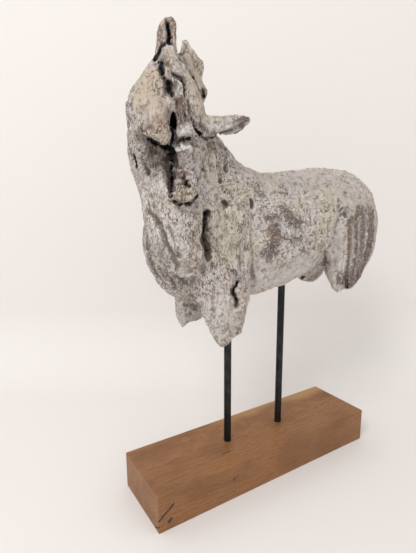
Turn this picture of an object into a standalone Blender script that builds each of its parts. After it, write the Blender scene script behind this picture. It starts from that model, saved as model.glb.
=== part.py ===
"""A weathered driftwood horse torso with a raised head, carried by two steel rods on an oak plinth."""
import math

import bmesh
import bpy
import numpy as np
from mathutils import Euler, Matrix, Vector, noise

# Driving dimensions, in metres
PLINTH_LENGTH = 0.360
PLINTH_WIDTH = 0.100
PLINTH_HEIGHT = 0.050
PLINTH_EDGE = 0.0008
ROD_DIAMETER = 0.010
ROD_SPACING = 0.0935
ROD_CENTRE_X = -0.001
ROD_SEAT_IN_PLINTH = 0.030
ROD_SEAT_IN_HORSE = 0.035
SEAT_CLEARANCE = 0.0003
HORSE_LIFT = 0.163
HORSE_HEIGHT = 0.360

# How finely the horse is worked
WORK_GRAIN = 0.0025
FACET_COUNT = 9050
ROD_FACETS = 32

# The horse is laid out in 360ths of its own height: x back from between the rods,
# y to its right, z up from the tip of its lowest leg stump.
UNIT = HORSE_HEIGHT / 360
HORSE_FOOT = Vector((0, 0, PLINTH_HEIGHT + HORSE_LIFT))
FRONT_ROD_X = ROD_CENTRE_X - ROD_SPACING / 2
REAR_ROD_X = ROD_CENTRE_X + ROD_SPACING / 2
CHEST_OVER_FRONT_ROD = 45 * UNIT
BELLY_OVER_REAR_ROD = 58 * UNIT
FRONT_ROD_TOP = HORSE_FOOT.z + CHEST_OVER_FRONT_ROD + ROD_SEAT_IN_HORSE
REAR_ROD_TOP = HORSE_FOOT.z + BELLY_OVER_REAR_ROD + ROD_SEAT_IN_HORSE


def place(x, y, z):
    """A point of the horse, in metres."""
    return Vector((x, y, z)) * UNIT + HORSE_FOOT


def clear_scene():
    for thing in list(bpy.data.objects):
        bpy.data.objects.remove(thing, do_unlink=True)


def new_collection(name):
    collection = bpy.data.collections.new(name)
    bpy.context.scene.collection.children.link(collection)
    return collection


def principled(name, colour, roughness, metallic=0.0):
    """A plain material from a colour, a roughness and a metallic value."""
    material = bpy.data.materials.new(name)
    material.use_nodes = True
    shader = material.node_tree.nodes["Principled BSDF"]
    shader.inputs["Base Color"].default_value = (*colour, 1)
    shader.inputs["Roughness"].default_value = roughness
    shader.inputs["Metallic"].default_value = metallic
    material.diffuse_color = (*colour, 1)
    return material


def add_object(name, shape, collection):
    """Turn a bmesh into a named object of a collection."""
    mesh = bpy.data.meshes.new(name)
    shape.to_mesh(mesh)
    shape.free()
    thing = bpy.data.objects.new(name, mesh)
    collection.objects.link(thing)
    return thing


def apply_modifiers(thing):
    """Replace the mesh by what its modifiers make of it."""
    graph = bpy.context.evaluated_depsgraph_get()
    finished = bpy.data.meshes.new_from_object(thing.evaluated_get(graph))
    thing.modifiers.clear()
    worn = thing.data
    thing.data = finished
    bpy.data.meshes.remove(worn)


# Free-form modelling tools

def run_through(stations, steps):
    """Extra stations on a smooth curve through the given ones, row by row."""
    rows = np.array(stations, float)
    padded = np.vstack([2 * rows[0] - rows[1], rows, 2 * rows[-1] - rows[-2]])
    made = []
    for i in range(len(rows) - 1):
        a, b, c, d = padded[i:i + 4]
        for step in range(steps):
            t = step / steps
            made.append(0.5 * (2 * b + (c - a) * t + (2 * a - 5 * b + 4 * c - d) * t ** 2
                               + (3 * b - a - 3 * c + d) * t ** 3))
    made.append(rows[-1])
    return made


def oval(centre, across, along, fullness=2.0, count=32):
    """Points of an oval ring; a fullness above 2 squares its corners."""
    ring = []
    for step in range(count):
        turn = 2 * math.pi * step / count
        c, s = math.cos(turn), math.sin(turn)
        ring.append(centre + across * math.copysign(abs(c) ** (2 / fullness), c)
                    + along * math.copysign(abs(s) ** (2 / fullness), s))
    return ring


def loft(name, rings, collection):
    """A closed body through rings of equal count, with flat ends."""
    shape = bmesh.new()
    loops = [[shape.verts.new(point) for point in ring] for ring in rings]
    for lower, upper in zip(loops, loops[1:]):
        for a in range(len(lower)):
            b = (a + 1) % len(lower)
            shape.faces.new((lower[a], lower[b], upper[b], upper[a]))
    shape.faces.new(list(reversed(loops[0])))
    shape.faces.new(loops[-1])
    bmesh.ops.recalc_face_normals(shape, faces=shape.faces)
    return add_object(name, shape, collection)


def lump(name, centre, radii, collection, lean=(0, 0, 0)):
    """An egg-shaped lump; lean turns it about x, y and z, in degrees."""
    shape = bmesh.new()
    bmesh.ops.create_uvsphere(shape, u_segments=24, v_segments=16, radius=1)
    spin = Euler([math.radians(angle) for angle in lean])
    pose = Matrix.LocRotScale(place(*centre), spin, Vector(radii) * UNIT)
    bmesh.ops.transform(shape, matrix=pose, verts=shape.verts)
    return add_object(name, shape, collection)


def block(name, centre, radii, collection, lean=(0, 0, 0)):
    """A lump with flatter ends and fuller sides, for splintered blocks of wood."""
    squared = lump(name, centre, radii, collection, lean)
    middle = place(*centre)
    for vertex in squared.data.vertices:
        out = vertex.co - middle
        vertex.co = middle + out * (1.25 - 0.27 * abs(out.normalized().z))
    return squared


def limb(name, stations, collection, flat=1.0):
    """A tapering round body along stations of x, y, z and radius."""
    rings = []
    rows = run_through(stations, 4)
    for i, row in enumerate(rows):
        before, after = rows[max(i - 1, 0)], rows[min(i + 1, len(rows) - 1)]
        heading = Vector(after[:3] - before[:3]).normalized()
        side = heading.cross(Vector((0, 1, 0))).normalized()
        depth = heading.cross(side)
        rings.append(oval(place(*row[:3]), side * row[3] * UNIT, depth * row[3] * flat * UNIT, count=20))
    return loft(name, rings, collection)


# The horse's main masses

TRUNK = [
    # x, half width, lowest, highest, fullness
    (-160, 11, 118, 140, 2.0),
    (-155, 24, 96, 158, 2.0),
    (-142, 39, 71, 186, 2.1),
    (-123, 52, 55, 205, 2.2),
    (-100, 59, 49, 212, 2.3),
    (-70, 61, 47, 214, 2.3),
    (-40, 61, 46, 213, 2.2),
    (-10, 62, 47, 206, 2.2),
    (20, 63, 52, 205, 2.2),
    (50, 62, 60, 208, 2.2),
    (80, 60, 72, 211, 2.3),
    (110, 60, 80, 213, 2.3),
    (140, 61, 78, 211, 2.3),
    (165, 57, 73, 203, 2.2),
    (189, 46, 74, 190, 2.1),
    (205, 30, 88, 172, 2.0),
    (213, 12, 112, 150, 2.0),
]

NECK = [
    # z, front, back, half width
    (95, -146, -40, 48),
    (130, -155, -40, 49),
    (160, -159, -34, 46),
    (185, -166, -20, 44),
    (205, -174, -26, 43),
    (218, -176, -42, 42),
    (232, -177, -58, 41),
    (247, -176, -73, 39),
    (262, -168, -86, 36),
    (273, -160, -94, 30),
    (281, -150, -102, 22),
    (286, -142, -112, 12),
]

HEAD = [
    # z, x, y, half width across the picture, half depth, fullness
    (236, -146, -20, 34, 30, 2.2),
    (246, -147, -26, 38, 35, 2.3),
    (259, -146, -28, 40, 38, 2.4),
    (269, -147, -28, 39, 38, 2.3),
    (279, -147, -29, 35, 37, 2.2),
    (289, -146, -29, 30, 35, 2.1),
    (298, -145, -30, 24, 32, 2.0),
    (305, -145, -30, 19, 28, 2.0),
    (312, -145, -30, 14.5, 24, 2.0),
    (319, -145, -30, 11.5, 20, 2.0),
    (327, -145, -30, 10, 16, 2.0),
    (337, -144.5, -30, 10, 14, 2.0),
    (346, -143, -30, 8.5, 12, 2.0),
    (351, -142, -30, 5, 8, 2.0),
]

# The head faces out from the neck, turned to the horse's left
FACING_TURN = math.radians(206.6)
FACING = Vector((math.sin(FACING_TURN), math.cos(FACING_TURN), 0))
ACROSS = Vector((-FACING.y, FACING.x, 0))


def trunk(collection):
    rings = []
    for x, half_width, low, high, fullness in run_through(TRUNK, 3):
        rings.append(oval(place(x, 0, (low + high) / 2), Vector((0, half_width * UNIT, 0)),
                          Vector((0, 0, (high - low) / 2 * UNIT)), fullness, 48))
    return loft("trunk", rings, collection)


def neck(collection):
    rings = []
    for z, front, back, half_width in run_through(NECK, 3):
        rings.append(oval(place((front + back) / 2, 0, z), Vector(((back - front) / 2 * UNIT, 0, 0)),
                          Vector((0, half_width * UNIT, 0)), 2.1, 48))
    return loft("neck", rings, collection)


def head(collection):
    rings = []
    for z, x, y, half_width, half_depth, fullness in run_through(HEAD, 3):
        rings.append(oval(place(x, y, z), ACROSS * half_width * UNIT, FACING * half_depth * UNIT, fullness, 40))
    return loft("head", rings, collection)


def legs(collection):
    """The four broken stumps and the muscle above each."""
    limb("near_fore_stump", [(-78, -34, 110, 40), (-83, -38, 80, 37), (-83, -42, 55, 34), (-83, -44, 35, 27.5),
                             (-84, -45, 22, 22), (-85, -46, 10, 14), (-83, -46, 0.5, 7)], collection, 0.72)
    limb("near_fore_heel", [(-72, -46, 45, 17), (-71, -46, 28, 14), (-69, -46, 12, 8.5)], collection)
    limb("far_fore_stump", [(-78, 34, 110, 38), (-80, 38, 80, 34), (-80, 41, 55, 27), (-81, 42, 35, 23),
                            (-81, 43, 20, 22), (-80, 44, 11, 20)], collection, 0.72)
    limb("far_fore_splinter", [(-94, 41, 30, 9.5), (-93.5, 42, 14, 7.5), (-91, 43, 1, 4)], collection)
    limb("near_hind_stump", [(142, -30, 140, 54), (137, -34, 110, 52), (130, -38, 85, 44), (127, -41, 65, 32),
                             (125, -43, 50, 22), (125, -44, 40, 14)], collection, 0.6)
    limb("far_hind_stump", [(142, 30, 140, 52), (142, 34, 110, 48), (143, 38, 85, 40), (143, 41, 60, 31),
                            (143, 43, 45, 24), (143, 44, 38, 17)], collection, 0.6)


def muscles(collection):
    """Shoulder, haunch and the long folds that hang down the front of the neck."""
    for side in (-1, 1):
        lump("shoulder", (-74, side * 36, 150), (37, 29, 58), collection, (0, 10, 0))
        lump("upper_arm", (-88, side * 40, 92), (32, 24, 44), collection)
        lump("saddle", (-52, side * 36, 168), (26, 24, 38), collection, (0, 14, 0))
        lump("haunch", (140, side * 33, 138), (46, 32, 66), collection, (0, -12, 0))
    limb("throat_lobe", [(-144, -33, 205, 14), (-146, -37, 178, 21), (-143, -41, 150, 22), (-136, -44, 126, 20),
                         (-129, -45, 110, 16), (-126, -45, 102, 9)], collection)
    limb("breast_fold", [(-162, -18, 190, 13), (-158, -26, 155, 15), (-152, -32, 118, 14), (-142, -35, 92, 9)],
         collection)
    limb("nape", [(-112, -8, 272, 16), (-92, -6, 244, 17), (-72, -2, 222, 16), (-50, 0, 205, 16),
                  (-14, 0, 186, 17)], collection, 1.1)
    limb("mane_lock", [(-96, 12, 262, 8), (-84, 22, 240, 11), (-74, 26, 218, 12), (-66, 26, 196, 9)], collection)
    limb("forelock", [(-118, -2, 290, 12), (-112, 6, 276, 14), (-104, 16, 258, 12), (-98, 24, 240, 8)], collection)
    lump("breast_nub", (-80, -62, 94), (5, 5, 5), collection)
    lump("throat_knob_top", (-136, -46, 210), (12, 13, 14), collection)
    lump("throat_knob", (-134, -48, 186), (14, 14, 21), collection)


def jaw(collection):
    """What stands out from the underside of the head, from the lip down to the throat."""
    limb("jaw_bar", [(-152, -44, 318, 8), (-153, -52, 306, 9), (-153, -58, 294, 9), (-150, -62, 280, 8),
                     (-149, -64, 264, 8), (-147, -62, 248, 9)], collection)
    lump("jaw_wedge", (-146, -64, 290), (8, 6, 3), collection, (0, 20, 0))
    limb("jaw_flap", [(-171, -52, 262, 10), (-171, -62, 252, 11), (-171, -66, 242, 10.5), (-169, -68, 235, 8),
                      (-166, -68, 229, 5)], collection)
    limb("jaw_flap_wing", [(-190, -38, 241, 5), (-185, -46, 241, 6), (-178, -57, 239, 7), (-170, -65, 236, 7)],
         collection)
    limb("flap_foot", [(-182, -33, 243, 7), (-178, -31, 233, 9), (-174, -27, 222, 9), (-172, -23, 212, 6)],
         collection)
    block("upper_block", (-147, -68, 238.5), (8, 10, 7.5), collection, (0, -12, -26))
    block("lower_block", (-145, -63, 222.5), (8.5, 11, 6), collection, (0, 8, -26))
    lump("cheek_nub", (-185, -24, 266), (3.5, 4, 5), collection)
    lump("cheek", (-169, -40, 262), (15, 20, 26), collection)


EAR = [
    # x, z, half height, half depth
    (-128, 245, 12, 13),
    (-112, 247, 11.5, 11),
    (-98, 250, 10.5, 9),
    (-85, 251.5, 11, 8),
    (-72, 253.5, 10.5, 7),
    (-61, 256.5, 8.5, 6),
    (-53, 259.5, 6, 5),
    (-49, 260.5, 3.5, 3),
]

CREST = [
    # z, outer edge, inner edge: a broken plate of mane behind the head
    (262, -92, -130),
    (272, -85, -130),
    (284, -82, -130),
    (290, -78, -130),
    (294, -77, -130),
    (298, -82, -130),
    (304, -87, -129),
    (311, -86, -128),
    (320, -83, -127),
    (325, -87, -124),
    (329, -96, -120),
    (333, -98, -117),
    (336, -107, -116),
    (342, -109, -115),
]


def ear_and_crest(collection):
    rings = []
    for x, z, half_height, half_depth in run_through(EAR, 3):
        rings.append(oval(place(x, -46, z), Vector((0, half_depth * UNIT, 0)),
                          Vector((0, 0, half_height * UNIT)), 2.0, 20))
    loft("ear", rings, collection)
    rings = []
    for z, outer, inner in run_through(CREST, 2):
        along = Vector((outer - inner, (outer - inner) * 0.35, 0)) / 2 * UNIT
        across = Vector((along.y, -along.x, 0)).normalized() * 5.5 * UNIT
        rings.append(oval(place((outer + inner) / 2, -8, z), along, across, 2.6, 24))
    loft("crest", rings, collection)


# Deep hollows: centre, radii and lean; the long side points along the line of sight of the picture
HOLLOWS = [
    ("jaw_hole", (-160, -68, 248), (5.5, 20, 13), (0, 6, -32)),
    ("throat", (-157, -46, 230), (6, 18, 14), (0, 0, -32)),
    ("shoulder_crease", (-114, -62, 138), (3.5, 14, 22), (0, 0, -30)),
    ("knuckle_hollow", (-141, -66, 189), (4.5, 11, 8), (0, 20, -32)),
    ("ear_root", (-124, -58, 241), (3.5, 9, 7), (0, 20, -32)),
]

# Carving strokes: width, depth and the points that the tool passes; a depth below nothing raises a ridge

STROKES = [
    # head
    (9, 7, [(-147, -44, 341), (-147, -46, 333), (-148, -47, 324)]),
    (6, 8, [(-169, -44, 304), (-161, -42, 314), (-156, -45, 322), (-146, -47, 325)]),
    (7, 6, [(-164, -57, 299), (-164, -63, 287), (-160, -67, 272)]),
    (6, 5, [(-146, -67, 284), (-144, -68, 266), (-137, -68, 250)]),
    (4.5, 6, [(-154, -72, 229.5), (-138, -66, 231)]),
    (9, 6, [(-166, -28, 227), (-156, -31, 222), (-147, -36, 219)]),
    (6, 3, [(-184, -48, 234), (-178, -46, 232)]),
    (6, 4, [(-128, -60, 243), (-121, -55, 234)]),
    # neck
    (8, 8, [(-151, -44, 216), (-150, -48, 203), (-151, -52, 190), (-151, -54, 176)]),
    (6, 7, [(-152, -58, 169), (-141, -60, 166), (-129, -58, 171)]),
    (8, 8, [(-114, -52, 161), (-115, -57, 146), (-118, -60, 132), (-115, -58, 122)]),
    (9, 4, [(-166, -34, 172), (-163, -42, 148), (-155, -48, 124), (-143, -50, 100)]),
    (7, 4, [(-175, -13, 220), (-175, -14, 206)]),
    (7, 4, [(-168, -24, 209), (-167, -24, 202)]),
    (8, 3, [(-104, -44, 236), (-98, -46, 218), (-92, -50, 200)]),
    (8, 3, [(-88, -42, 226), (-80, -46, 210), (-76, -50, 194)]),
    # trunk
    (10, 2.5, [(-42, -34, 208), (-44, -46, 190), (-52, -58, 170), (-53, -62, 145), (-51, -62, 115),
              (-46, -56, 88), (-40, -42, 62)]),
    (6, 6, [(-55, -60, 168), (-53, -62, 164)]),
    (6, 5, [(-94, -60, 168), (-93, -61, 167)]),
    (7, 6, [(-81, -66, 82), (-86, -67, 73), (-84, -66, 62), (-81, -62, 52)]),
    (8, 3.5, [(84, -60, 155), (93, -61, 155), (103, -62, 151)]),
    (12, 5, [(97, -62, 146), (90, -64, 122), (80, -62, 104), (74, -56, 86)]),
    (9, 6, [(98, -58, 92), (92, -50, 82), (88, -38, 74)]),
    (7, 4, [(112, -66, 122), (114, -66, 92), (116, -62, 62)]),
    (7, 4, [(130, -67, 122), (130, -66, 92), (126, -60, 60)]),
    (7, 4, [(150, -66, 118), (146, -62, 88), (138, -54, 62)]),
    (10, 9, [(112, -54, 44), (120, -56, 42), (128, -54, 42)]),
]


def distance_to_path(points, path):
    """How far each point is from the nearest stretch of a stroke."""
    nearest = np.full(len(points), np.inf)
    stretches = list(zip(path, path[1:])) or [(path[0], path[0])]
    for start, end in stretches:
        start, run = np.array(start), np.array(end) - np.array(start)
        share = np.clip((points - start) @ run / max(run @ run, 1e-12), 0, 1)
        nearest = np.minimum(nearest, np.linalg.norm(points - start - share[:, None] * run, axis=1))
    return nearest


def carve(thing):
    """Push the skin in along every stroke, and roughen it slightly along the grain."""
    mesh = thing.data
    points = np.empty(len(mesh.vertices) * 3, np.float64)
    normals = np.empty(len(mesh.vertices) * 3, np.float64)
    mesh.vertices.foreach_get("co", points)
    mesh.vertices.foreach_get("normal", normals)
    points, normals = points.reshape(-1, 3), normals.reshape(-1, 3)
    push = np.zeros(len(points))
    for width, depth, stroke in STROKES:
        path = [place(*station) for station in stroke]
        share = np.clip(distance_to_path(points, path) / (width * UNIT), 0, 1)
        push += depth * UNIT * (1 - share ** 2) ** 2
    for i, point in enumerate(points):
        along = (Vector(point) - HORSE_FOOT) / UNIT
        push[i] += 1.3 * UNIT * noise.noise(Vector((along.x / 15, along.y / 15, along.z / 34)))
        push[i] += 0.8 * UNIT * noise.noise(Vector((along.x / 6, along.y / 6, along.z / 11)))
    mesh.vertices.foreach_set("co", (points - normals * push[:, None]).ravel())
    mesh.update()


def one_skin(thing):
    """Melt overlapping masses into one even skin."""
    skin = thing.modifiers.new("one skin", "REMESH")
    skin.mode = "VOXEL"
    skin.voxel_size = WORK_GRAIN
    apply_modifiers(thing)


def hollow_out(thing):
    """Take the deep hollows out of the solid, then even its skin again."""
    gouges = new_collection("gouges")
    for name, centre, radii, lean in HOLLOWS:
        gouge = lump(name, centre, radii, gouges, lean)
        taken = thing.modifiers.new(name, "BOOLEAN")
        taken.operation = "DIFFERENCE"
        taken.solver = "EXACT"
        taken.object = gouge
        apply_modifiers(thing)
        bpy.data.objects.remove(gouge, do_unlink=True)
    bpy.data.collections.remove(gouges)
    one_skin(thing)


def ease(thing, rounds):
    """Take the sharpest creases off a mesh."""
    softer = thing.modifiers.new("ease", "SMOOTH")
    softer.factor = 0.5
    softer.iterations = rounds
    apply_modifiers(thing)


def reduce(thing, count):
    """Bring a mesh down to about the given number of triangles, fewest on the plain trunk."""
    thing.modifiers.new("sides", "TRIANGULATE")
    apply_modifiers(thing)
    plain = thing.vertex_groups.new(name="plain")
    for vertex in thing.data.vertices:
        height = (vertex.co.z - HORSE_FOOT.z) / UNIT
        detail = min(max((height - 150) / 70, 0), 1)
        plain.add([vertex.index], 1 - 0.75 * detail, "REPLACE")
    fewer = thing.modifiers.new("fewer", "DECIMATE")
    fewer.vertex_group = "plain"
    fewer.vertex_group_factor = 0.03
    fewer.ratio = min(1.0, count / len(thing.data.polygons))
    apply_modifiers(thing)
    thing.vertex_groups.clear()


def build_horse(collection, material):
    """The horse as one solid."""
    masses = new_collection("masses")
    trunk(masses)
    neck(masses)
    head(masses)
    legs(masses)
    muscles(masses)
    jaw(masses)
    ear_and_crest(masses)
    joined = bmesh.new()
    for mass in masses.objects:
        joined.from_mesh(mass.data)
    for mass in list(masses.objects):
        bpy.data.objects.remove(mass, do_unlink=True)
    bpy.data.collections.remove(masses)
    horse = add_object("horse_torso", joined, collection)
    horse.data.materials.append(material)
    one_skin(horse)
    hollow_out(horse)
    ease(horse, 2)
    carve(horse)
    reduce(horse, FACET_COUNT)
    horse.data.polygons.foreach_set("use_smooth", [True] * len(horse.data.polygons))
    horse.data.transform(Matrix.Translation(-HORSE_FOOT))
    horse.location = HORSE_FOOT
    return horse


def rod(name, x, bottom, top, material, collection):
    """A round bar standing between two heights."""
    shape = bmesh.new()
    bmesh.ops.create_cone(shape, cap_ends=True, segments=ROD_FACETS, radius1=ROD_DIAMETER / 2,
                          radius2=ROD_DIAMETER / 2, depth=top - bottom)
    for face in shape.faces:
        face.smooth = len(face.verts) == 4
    for edge in shape.edges:
        edge.smooth = all(face.smooth for face in edge.link_faces)
    bar = add_object(name, shape, collection)
    bar.location = (x, 0, (bottom + top) / 2)
    bar.data.materials.append(material)
    return bar


def bore(name, x, bottom, top, thing, collection):
    """Leave room in a solid for a rod, with the seat clearance all round."""
    shape = bmesh.new()
    bmesh.ops.create_cone(shape, cap_ends=True, segments=ROD_FACETS, radius1=ROD_DIAMETER / 2 + SEAT_CLEARANCE,
                          radius2=ROD_DIAMETER / 2 + SEAT_CLEARANCE, depth=top - bottom)
    cutter = add_object(name, shape, collection)
    cutter.location = (x, 0, (bottom + top) / 2)
    cutter.hide_render = True
    cutter.display_type = "WIRE"
    room = thing.modifiers.new(name, "BOOLEAN")
    room.operation = "DIFFERENCE"
    room.solver = "EXACT"
    room.object = cutter


def plinth_block(material, collection):
    """The oak block, with its edges just taken off."""
    shape = bmesh.new()
    bmesh.ops.create_cube(shape, size=1)
    bmesh.ops.scale(shape, vec=(PLINTH_LENGTH, PLINTH_WIDTH, PLINTH_HEIGHT), verts=shape.verts)
    block_of_oak = add_object("plinth", shape, collection)
    block_of_oak.location.z = PLINTH_HEIGHT / 2
    edge = block_of_oak.modifiers.new("edge", "BEVEL")
    edge.width = PLINTH_EDGE
    edge.segments = 2
    block_of_oak.data.materials.append(material)
    return block_of_oak


clear_scene()
sculpture = new_collection("driftwood_horse_sculpture")
cutters = new_collection("cutters")
cutters.hide_render = True

drift = principled("driftwood", (0.42, 0.37, 0.32), 0.85)
steel = principled("blackened_steel", (0.05, 0.055, 0.06), 0.45, 0.9)
oak = principled("oiled_oak", (0.29, 0.15, 0.07), 0.5)

root = bpy.data.objects.new("sculpture_root", None)
sculpture.objects.link(root)
plinth = plinth_block(oak, sculpture)
horse = build_horse(sculpture, drift)
horse.parent = root
plinth.parent = root

ROD_FOOT = PLINTH_HEIGHT - ROD_SEAT_IN_PLINTH
for name, rod_x, rod_top in (("front_rod", FRONT_ROD_X, FRONT_ROD_TOP), ("rear_rod", REAR_ROD_X, REAR_ROD_TOP)):
    rod(name, rod_x, ROD_FOOT, rod_top, steel, sculpture).parent = root
    bore(name + "_seat", rod_x, ROD_FOOT - SEAT_CLEARANCE, PLINTH_HEIGHT + ROD_DIAMETER, plinth, cutters)
    bore(name + "_socket", rod_x, HORSE_FOOT.z, rod_top + SEAT_CLEARANCE, horse, cutters)
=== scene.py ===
# %% [markdown]
# # A weathered driftwood horse on an oak plinth
# The model comes as a frame of plain bodies: a horse torso, two steel rods and a plinth. This lesson
# gives them the surface of the real thing. The horse gets a fine skin that is gouged, cracked and
# pitted like driftwood under whitewash, the rods get blackened steel, and the plinth gets oiled oak.
#
# The finer skin could also be sculpted by hand or painted as a displacement map. Here it is carved by
# named strokes instead, so that every mark can be found again, moved or made deeper.

# %% The frame and its sizes
import math

import bmesh
import bpy
import numpy as np
from mathutils import Matrix, Vector, noise
from mathutils.bvhtree import BVHTree


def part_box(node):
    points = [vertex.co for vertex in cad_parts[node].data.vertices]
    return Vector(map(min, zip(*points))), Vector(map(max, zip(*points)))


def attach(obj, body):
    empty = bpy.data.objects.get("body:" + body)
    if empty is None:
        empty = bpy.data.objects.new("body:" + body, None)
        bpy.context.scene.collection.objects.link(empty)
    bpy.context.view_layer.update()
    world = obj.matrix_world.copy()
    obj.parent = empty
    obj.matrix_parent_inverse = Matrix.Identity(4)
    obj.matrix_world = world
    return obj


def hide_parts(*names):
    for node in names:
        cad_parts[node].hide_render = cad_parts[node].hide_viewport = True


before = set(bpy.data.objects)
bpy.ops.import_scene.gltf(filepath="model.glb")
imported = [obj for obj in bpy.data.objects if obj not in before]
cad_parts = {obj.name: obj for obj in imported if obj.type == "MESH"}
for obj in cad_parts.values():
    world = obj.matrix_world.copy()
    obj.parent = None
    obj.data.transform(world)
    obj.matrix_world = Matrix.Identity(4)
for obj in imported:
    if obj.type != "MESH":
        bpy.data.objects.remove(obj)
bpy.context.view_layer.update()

MM = 0.001
plinth_low, plinth_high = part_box("plinth")
horse_low, horse_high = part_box("horse_torso")
print("plinth", [round((b - a) / MM) for a, b in zip(plinth_low, plinth_high)], "mm")
print("horse", [round((b - a) / MM) for a, b in zip(horse_low, horse_high)], "mm")

# %% [markdown]
# ## The camera
# The place, turn and lens were worked out from the plinth's corners in the picture: a wide lens held
# close to the horse's left shoulder, a little above its back. A camera could be set by eye as well,
# but a solved one is worth the trouble here, because it also serves as a pointing stick: a picture
# point, sent out along the lens, lands on the skin where the real mark is.

# %% Camera
PICTURE_WIDTH, PICTURE_HEIGHT = 416, 553
CAMERA_SPOT = Vector((-0.3532, -0.4373, 0.3953))
CAMERA_TURN = math.radians(32.145)
CAMERA_TILT = math.radians(11.58)
CAMERA_ROLL = math.radians(-0.369)
LENS_MM = 27.18
SENSOR_MM = 36.0
LENS_PIXELS = LENS_MM / SENSOR_MM * PICTURE_HEIGHT

ahead = Vector((math.sin(CAMERA_TURN) * math.cos(CAMERA_TILT),
                math.cos(CAMERA_TURN) * math.cos(CAMERA_TILT), -math.sin(CAMERA_TILT)))
level = Vector((math.cos(CAMERA_TURN), -math.sin(CAMERA_TURN), 0))
upright = level.cross(ahead)
across = math.cos(CAMERA_ROLL) * level + math.sin(CAMERA_ROLL) * upright
upward = -math.sin(CAMERA_ROLL) * level + math.cos(CAMERA_ROLL) * upright

NEAREST_SEEN = 10 * MM
camera = bpy.data.objects.new("camera", bpy.data.cameras.new("camera"))
camera.data.sensor_width = SENSOR_MM
camera.data.lens = LENS_MM
camera.data.clip_start = NEAREST_SEEN
pose = Matrix((across, upward, -ahead)).transposed().to_4x4()
pose.translation = CAMERA_SPOT
camera.matrix_world = pose
bpy.context.scene.collection.objects.link(camera)
bpy.context.scene.camera = camera
print("camera at", [round(value / MM) for value in CAMERA_SPOT], "mm with a lens of", LENS_MM, "mm")

# %% The camera as a pointing stick


def sight(picture_point):
    """The direction in which the camera sees a point of the picture."""
    right = (picture_point[0] - PICTURE_WIDTH / 2) / LENS_PIXELS
    down = (picture_point[1] - PICTURE_HEIGHT / 2) / LENS_PIXELS
    return (ahead + right * across - down * upward).normalized()


# %% [markdown]
# ## The floor
# The sculpture stands on a pale sheet that curves up close behind it, so there is no horizon and the
# horse throws a soft shadow to the right. A plane with a second one standing behind it would show the
# line where they meet. A sheet swept along a quarter circle doesn't. Plain display colours keep it as
# pale as it is in the picture.

# %% Floor and backdrop
SHEET_COLOUR = (0.790, 0.762, 0.745)
SHEET_BEHIND = 0.34
SHEET_BEND = 0.14
SHEET_REACH = 3.0
SHEET_HEIGHT = 2.0
BEND_STEPS = 16
bpy.context.scene.view_settings.view_transform = "Standard"


def sweep_sheet(name, front, behind, bend, height, width):
    """A sheet that lies flat, then curves up behind the object, square to the camera's turn."""
    shape = bmesh.new()
    rows = [(-front, 0.0)]
    rows += [(behind - bend + bend * math.sin(step / BEND_STEPS * math.pi / 2),
              bend - bend * math.cos(step / BEND_STEPS * math.pi / 2)) for step in range(BEND_STEPS + 1)]
    rows.append((behind, height))
    turn = Matrix.Rotation(-CAMERA_TURN, 4, "Z")
    edge = None
    for away, up in rows:
        pair = [shape.verts.new(turn @ Vector((side * width / 2, away, up))) for side in (-1, 1)]
        if edge:
            shape.faces.new((edge[0], edge[1], pair[1], pair[0]))
        edge = pair
    for face in shape.faces:
        face.smooth = True
    mesh = bpy.data.meshes.new(name)
    shape.to_mesh(mesh)
    shape.free()
    thing = bpy.data.objects.new(name, mesh)
    bpy.context.scene.collection.objects.link(thing)
    return thing


sheet = sweep_sheet("backdrop", SHEET_REACH, SHEET_BEHIND, SHEET_BEND, SHEET_HEIGHT, 2 * SHEET_REACH)
sheet_finish = bpy.data.materials.new("pale_sheet")
sheet_finish.use_nodes = True
sheet_shader = sheet_finish.node_tree.nodes["Principled BSDF"]
sheet_shader.inputs["Base Color"].default_value = (*SHEET_COLOUR, 1)
sheet_shader.inputs["Roughness"].default_value = 0.9
sheet.data.materials.append(sheet_finish)
print("sheet faces", len(sheet.data.polygons))

# %% [markdown]
# ## The light
# The light is that of a bright room: soft from everywhere, stronger from a window on the left. One
# large round lamp stands for the window, a faint bluish one for the sky beside it, and the world's
# own colour for all that the walls send back. A small lamp would give hard shadows that the picture
# doesn't have.

# %% Lights
WINDOW_TURN = math.radians(-30)
WINDOW_RISE = math.radians(44)
WINDOW_FAR, WINDOW_SIZE, WINDOW_POWER = 2.0, 0.8, 14
WINDOW_COLOUR = (1.0, 0.99, 0.98)
SKY_TURN = math.radians(-95)
SKY_RISE = math.radians(15)
SKY_FAR, SKY_SIZE, SKY_POWER = 1.6, 1.0, 1.2
SKY_COLOUR = (0.75, 0.90, 1.0)
ROOM_COLOUR = (1.0, 0.985, 0.97)
ROOM_STRENGTH = 0.93
MIDDLE = Vector((0.0, 0.0, 0.3))


def soft_light(name, spot, target, size, power, colour):
    """A round lamp of a given width that faces its target."""
    lamp = bpy.data.objects.new(name, bpy.data.lights.new(name, "AREA"))
    lamp.data.shape = "DISK"
    lamp.data.size = size
    lamp.data.energy = power
    lamp.data.color = colour
    lamp.matrix_world = (Matrix.Translation(spot)
                         @ (Vector(target) - Vector(spot)).to_track_quat("-Z", "Y").to_matrix().to_4x4())
    bpy.context.scene.collection.objects.link(lamp)
    return lamp


def spot_around(turn, rise, distance):
    """A place seen from the middle of the object: turned from the camera's side, and raised."""
    toward_camera = -Vector((math.sin(CAMERA_TURN), math.cos(CAMERA_TURN), 0))
    flat = Matrix.Rotation(turn, 3, "Z") @ toward_camera
    return MIDDLE + distance * (math.cos(rise) * flat + math.sin(rise) * Vector((0, 0, 1)))


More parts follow.
